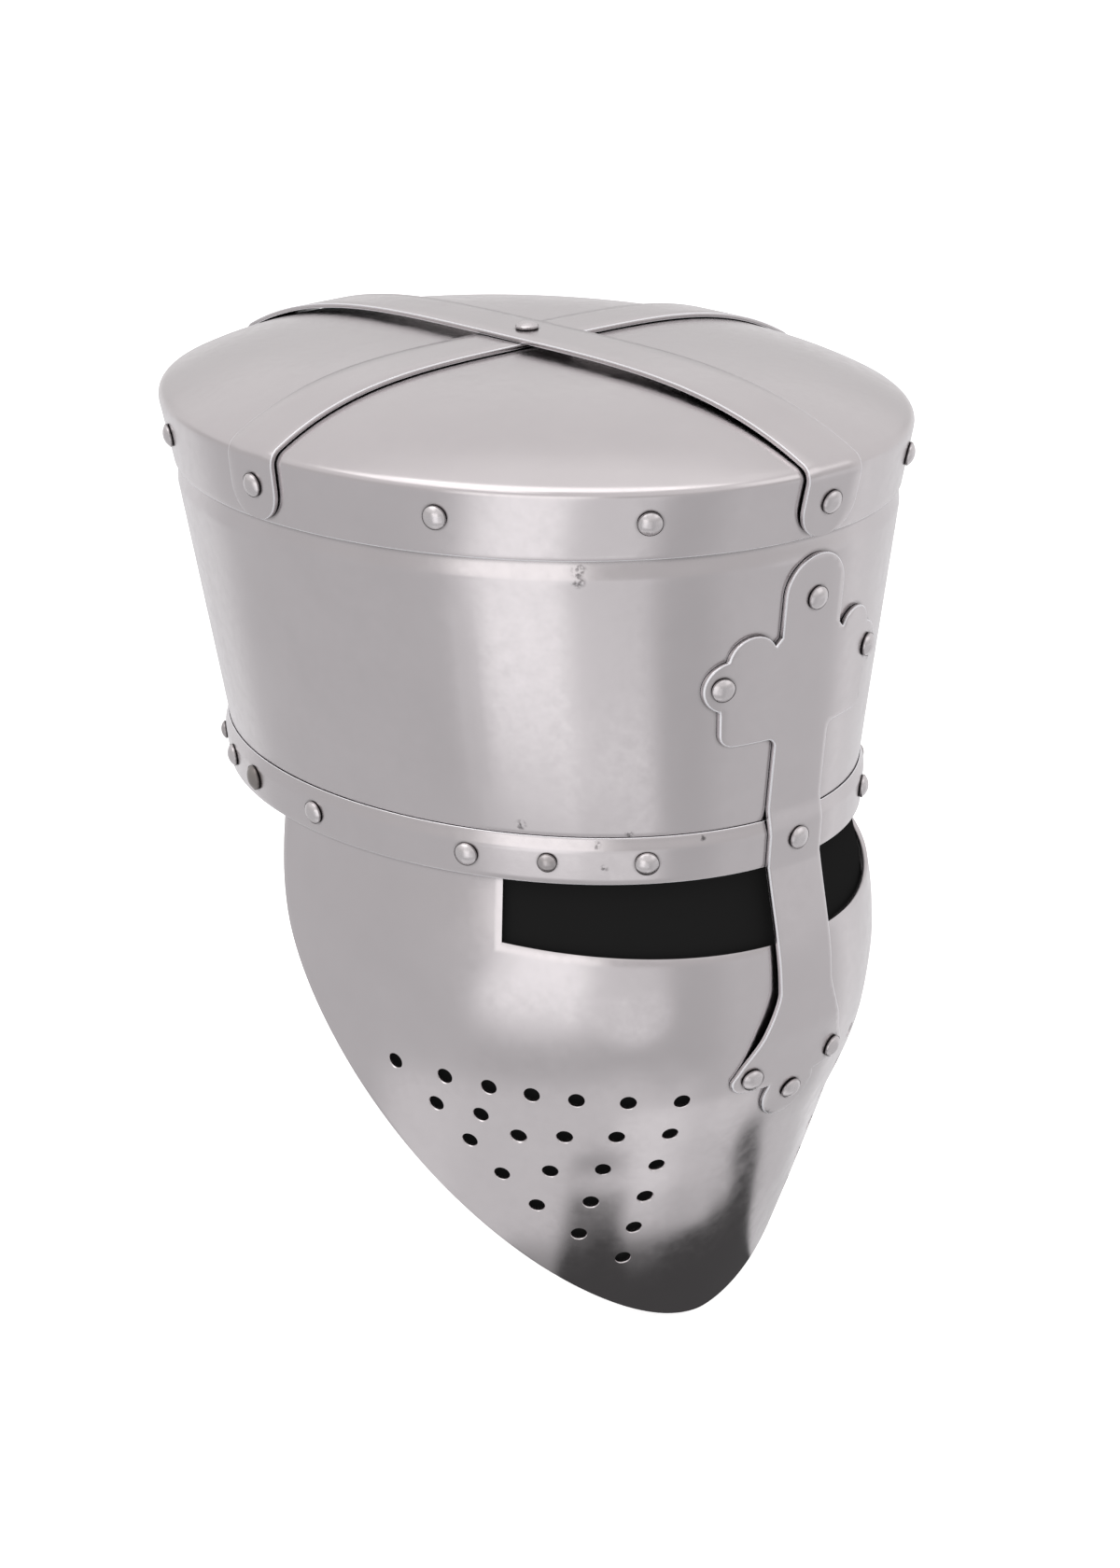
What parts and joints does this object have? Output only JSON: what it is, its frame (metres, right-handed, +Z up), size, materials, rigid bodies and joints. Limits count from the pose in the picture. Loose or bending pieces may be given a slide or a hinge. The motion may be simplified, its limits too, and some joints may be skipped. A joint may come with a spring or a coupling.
{
  "type": "flat-topped great helm with a riveted face guard",
  "caption": "Flat-topped steel great helm: straps cross its crown, a nasal cross runs over the eye slot, and a pierced face guard covers the face; leather liner and chin strap inside.",
  "frame": {"origin": "middle of the head opening, level with the brow band's lower edge", "axes": "+Z up through the crown, -Y the way the face looks, +X to the wearer's left"},
  "size_m": [0.2258, 0.2799, 0.3299],
  "materials": {
    "steel_sheet": "satin",
    "rivet_steel": "polished",
    "dull_steel": "dull",
    "leather": "vegetable tanned, undyed brown"
  },
  "bodies": {
    "helmet": {"crown_plate": "steel_sheet", "skull_drum": "steel_sheet", "brow_band": "steel_sheet", "face_plate": "steel_sheet", "crown_strap_long": "steel_sheet", "crown_strap_cross": "steel_sheet", "nasal_cross": "steel_sheet", "flange_rivets": "rivet_steel", "strap_end_rivets": "rivet_steel", "crown_rivet": "rivet_steel", "brow_rivets": "rivet_steel", "cross_rivets": "rivet_steel", "foot_rivets": "rivet_steel", "liner_rivets": "dull_steel", "chin_rivets": "dull_steel", "liner_band": "leather", "liner_tongues": "leather", "liner_patch": "leather"},
    "right_strap": {"chin_strap_right": "leather", "strap_keeper": "leather", "fold_rivet": "dull_steel"},
    "left_strap": {"chin_strap_left": "leather"},
    "buckle": {"buckle_frame": "dull_steel"},
    "prong": {"buckle_prong": "dull_steel"}
  },
  "joints": [
    {"name": "right_strap_swing", "type": "hinge", "parent": "helmet", "child": "right_strap", "pos_m": [-0.0807, 0.03642, 0.00802], "axis": [0.9641, -0.2496, 0.0903], "range_deg": [0, 140]},
    {"name": "left_strap_swing", "type": "hinge", "parent": "helmet", "child": "left_strap", "pos_m": [0.0807, 0.03642, 0.00802], "axis": [0.9641, 0.2496, -0.0903], "range_deg": [0, 140]},
    {"name": "buckle_hinge", "type": "hinge", "parent": "right_strap", "child": "buckle", "pos_m": [-0.07717, -0.0314, 0.00822], "axis": [-0.088, -0.0201, 0.9959], "range_deg": [0, 70]},
    {"name": "prong_hinge", "type": "hinge", "parent": "buckle", "child": "prong", "pos_m": [-0.07717, -0.0314, 0.00822], "axis": [-0.088, -0.0201, 0.9959], "range_deg": [0, 50]}
  ]
}
